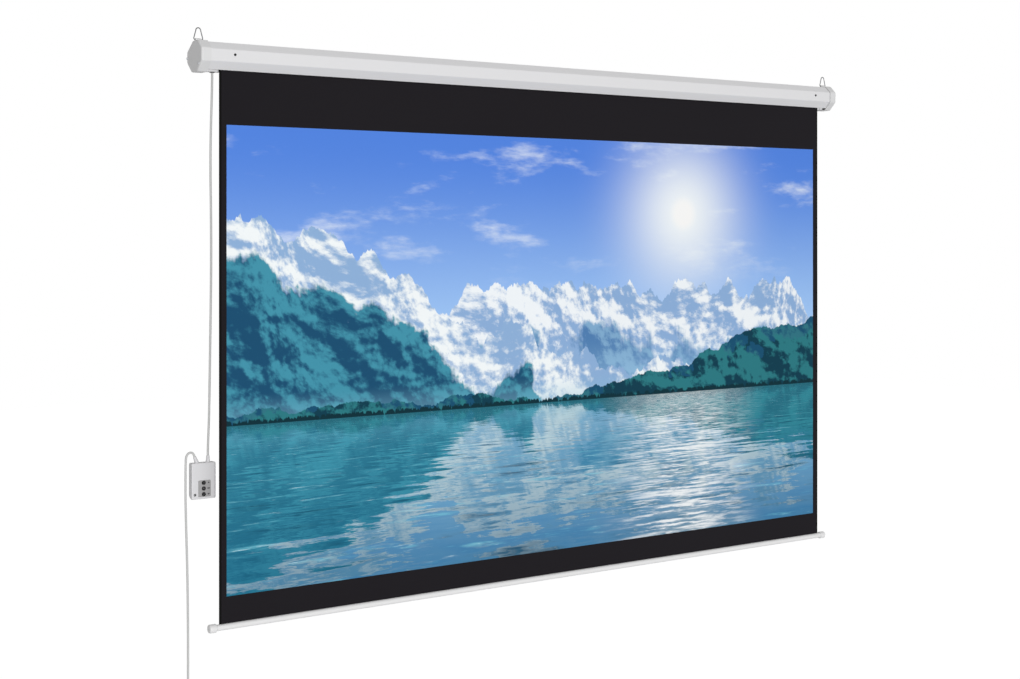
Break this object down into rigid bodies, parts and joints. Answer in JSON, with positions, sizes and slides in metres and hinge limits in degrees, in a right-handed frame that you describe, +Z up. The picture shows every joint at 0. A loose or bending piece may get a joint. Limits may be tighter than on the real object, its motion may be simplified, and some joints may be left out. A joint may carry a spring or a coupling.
{
  "type": "motorized projection screen",
  "caption": "Motorized roll-up projection screen with a bevelled casing, black-bordered picture cloth, weighted bottom bar, hanging loops and a wired wall control box.",
  "frame": {"origin": "middle of the flat back of the casing, on the plane of the wall", "axes": "+X along the casing to the viewer's right, +Y out of the back into the wall, +Z up"},
  "size_m": [2.3994, 0.09, 1.9641],
  "materials": {
    "casing_paint": "satin off-white powder coat on a formed metal casing",
    "cap_plastic": "fine-textured off-white moulded plastic",
    "dark_screw": "blackened steel pan head",
    "steel": "plain drawn steel",
    "zinc_plate": "zinc-plated steel",
    "black_plastic": "satin black moulded plastic",
    "motor_case": "grey painted motor case",
    "white_screw": "white moulded plastic",
    "red_screw": "red moulded plastic",
    "nylon": "natural nylon",
    "aluminium": "mill-finish extruded tube",
    "black_fabric": "matt black coated cloth",
    "picture_fabric": "matt coated cloth with a black border round the picture",
    "brass": "plain brass",
    "bar_paint": "satin white powder coat",
    "box_plastic": "satin off-white moulded plastic",
    "panel_grey": "grey film panel",
    "board": "green coated circuit board",
    "terminal": "blue moulded terminal block",
    "cable_jacket": "smooth light grey flexible jacket",
    "strap": "black woven strap"
  },
  "bodies": {
    "casing": {"casing_shell": "casing_paint", "end_cap_left": "cap_plastic", "end_cap_right": "cap_plastic", "cap_screw_left_front": "zinc_plate", "cap_screw_left_back": "zinc_plate", "cap_screw_right_front": "zinc_plate", "cap_screw_right_back": "zinc_plate", "front_screw_left": "dark_screw", "front_screw_right": "dark_screw", "motor_bracket": "zinc_plate", "idler_bracket": "zinc_plate", "motor_head": "black_plastic", "motor_tube": "motor_case", "idler_pin": "steel", "screen_fabric": "picture_fabric", "box_front_shell": "box_plastic", "box_back_shell": "box_plastic", "button_panel": "panel_grey", "bezel_up": "black_plastic", "bezel_stop": "black_plastic", "bezel_down": "black_plastic", "switch_up": "black_plastic", "switch_stop": "black_plastic", "switch_down": "black_plastic", "circuit_board": "board", "terminal_block": "terminal", "box_screw": "dark_screw", "strain_relief_in": "box_plastic", "strain_relief_out": "box_plastic", "lead_grommet": "black_plastic", "motor_lead": "cable_jacket", "cable_upper": "cable_jacket", "cable_lower": "cable_jacket", "cable_hank": "cable_jacket", "cable_tie": "strap", "cable_tail": "cable_jacket", "plug_body": "cable_jacket", "plug_blade_left": "brass", "plug_blade_right": "brass", "plug_earth_pin": "brass"},
    "roller": {"roller_tube": "aluminium", "fabric_wrap": "black_fabric", "fabric_spline": "nylon", "crown_ring": "nylon", "drive_wheel": "nylon", "output_shaft": "steel", "idler_plug": "nylon", "idler_bush": "brass"},
    "bottom_bar": {"bar_tube": "bar_paint", "bar_cap_left": "cap_plastic", "bar_cap_right": "cap_plastic", "hem_rod": "nylon", "fabric_hem": "black_fabric"},
    "loop_left": {"bail_left": "steel"},
    "loop_right": {"bail_right": "steel"},
    "up_button": {"button_up": "black_plastic"},
    "stop_button": {"button_stop": "black_plastic"},
    "down_button": {"button_down": "black_plastic"},
    "up_limit": {"limit_screw_up": "white_screw"},
    "down_limit": {"limit_screw_down": "red_screw"}
  },
  "joints": [
    {"name": "bar_raise", "type": "slide", "parent": "casing", "child": "bottom_bar", "axis": [0, 0, 1], "range_m": [0, 1.4467], "deforming": ["screen_fabric"]},
    {"name": "roller_spin", "type": "hinge", "parent": "casing", "child": "roller", "pos_m": [0, -0.03745, 0], "axis": [-1, 0, 0], "range_deg": [0, 3460]},
    {"name": "loop_left_swing", "type": "hinge", "parent": "casing", "child": "loop_left", "pos_m": [-1.178, -0.04, 0.0445], "axis": [1, 0, 0], "range_deg": [-86, 86]},
    {"name": "loop_right_swing", "type": "hinge", "parent": "casing", "child": "loop_right", "pos_m": [1.178, -0.04, 0.0445], "axis": [1, 0, 0], "range_deg": [-86, 86]},
    {"name": "up_press", "type": "slide", "parent": "casing", "child": "up_button", "axis": [0, 1, 0], "range_m": [0, 0.001], "stiffness_N_per_m": 1200, "springref_m": -0.0003},
    {"name": "stop_press", "type": "slide", "parent": "casing", "child": "stop_button", "axis": [0, 1, 0], "range_m": [0, 0.001], "stiffness_N_per_m": 1200, "springref_m": -0.0003},
    {"name": "down_press", "type": "slide", "parent": "casing", "child": "down_button", "axis": [0, 1, 0], "range_m": [0, 0.001], "stiffness_N_per_m": 1200, "springref_m": -0.0003},
    {"name": "up_limit_turn", "type": "hinge", "parent": "casing", "child": "up_limit", "pos_m": [-1.1368, -0.03745, 0], "axis": [0, -0.8186, -0.5743], "range_deg": [-1080, 1080]},
    {"name": "down_limit_turn", "type": "hinge", "parent": "casing", "child": "down_limit", "pos_m": [-1.1368, -0.03745, 0], "axis": [0, -0.3887, -0.9214], "range_deg": [-1080, 1080]}
  ],
  "couplings": [
    {"joint": "roller_spin", "follows": "bar_raise", "rad_per_m": 41.667}
  ]
}
